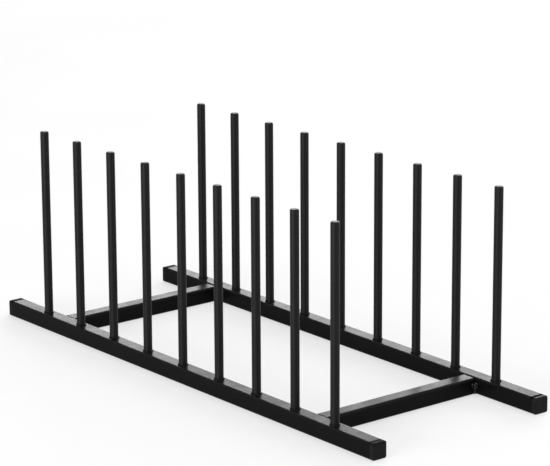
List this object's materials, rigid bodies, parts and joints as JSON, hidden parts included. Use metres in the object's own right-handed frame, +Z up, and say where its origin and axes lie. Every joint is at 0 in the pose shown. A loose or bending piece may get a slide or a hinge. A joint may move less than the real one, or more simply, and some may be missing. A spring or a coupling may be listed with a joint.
{
  "type": "plate rack",
  "caption": "Free-standing rack of square steel tube: parallel rails joined by cross bars, each rail with a row of upright round pegs that hold plates on edge.",
  "frame": {"origin": "on the table, under the middle of the rack", "axes": "+X along the rails to the right, +Y from the front rail to the rear rail, +Z up along the pegs"},
  "size_m": [0.428, 0.158, 0.152],
  "materials": {
    "coated_steel": "satin black powder coat with a fine orange peel",
    "coated_weld": "rippled weld bead under the same satin black powder coat",
    "cap_plastic": "moulded black plastic, finely textured"
  },
  "bodies": {
    "root": {"front_rail": "coated_steel", "front_peg_1": "coated_steel", "front_peg_2": "coated_steel", "front_peg_3": "coated_steel", "front_peg_4": "coated_steel", "front_peg_5": "coated_steel", "front_peg_6": "coated_steel", "front_peg_7": "coated_steel", "front_peg_8": "coated_steel", "front_peg_9": "coated_steel", "front_peg_weld_1": "coated_weld", "front_peg_weld_2": "coated_weld", "front_peg_weld_3": "coated_weld", "front_peg_weld_4": "coated_weld", "front_peg_weld_5": "coated_weld", "front_peg_weld_6": "coated_weld", "front_peg_weld_7": "coated_weld", "front_peg_weld_8": "coated_weld", "front_peg_weld_9": "coated_weld", "front_left_end_cap": "cap_plastic", "front_right_end_cap": "cap_plastic", "rear_rail": "coated_steel", "rear_peg_1": "coated_steel", "rear_peg_2": "coated_steel", "rear_peg_3": "coated_steel", "rear_peg_4": "coated_steel", "rear_peg_5": "coated_steel", "rear_peg_6": "coated_steel", "rear_peg_7": "coated_steel", "rear_peg_8": "coated_steel", "rear_peg_9": "coated_steel", "rear_peg_weld_1": "coated_weld", "rear_peg_weld_2": "coated_weld", "rear_peg_weld_3": "coated_weld", "rear_peg_weld_4": "coated_weld", "rear_peg_weld_5": "coated_weld", "rear_peg_weld_6": "coated_weld", "rear_peg_weld_7": "coated_weld", "rear_peg_weld_8": "coated_weld", "rear_peg_weld_9": "coated_weld", "rear_left_end_cap": "cap_plastic", "rear_right_end_cap": "cap_plastic", "left_cross_bar": "coated_steel", "left_cross_bar_welds": "coated_weld", "right_cross_bar": "coated_steel", "right_cross_bar_welds": "coated_weld"}
  },
  "joints": []
}
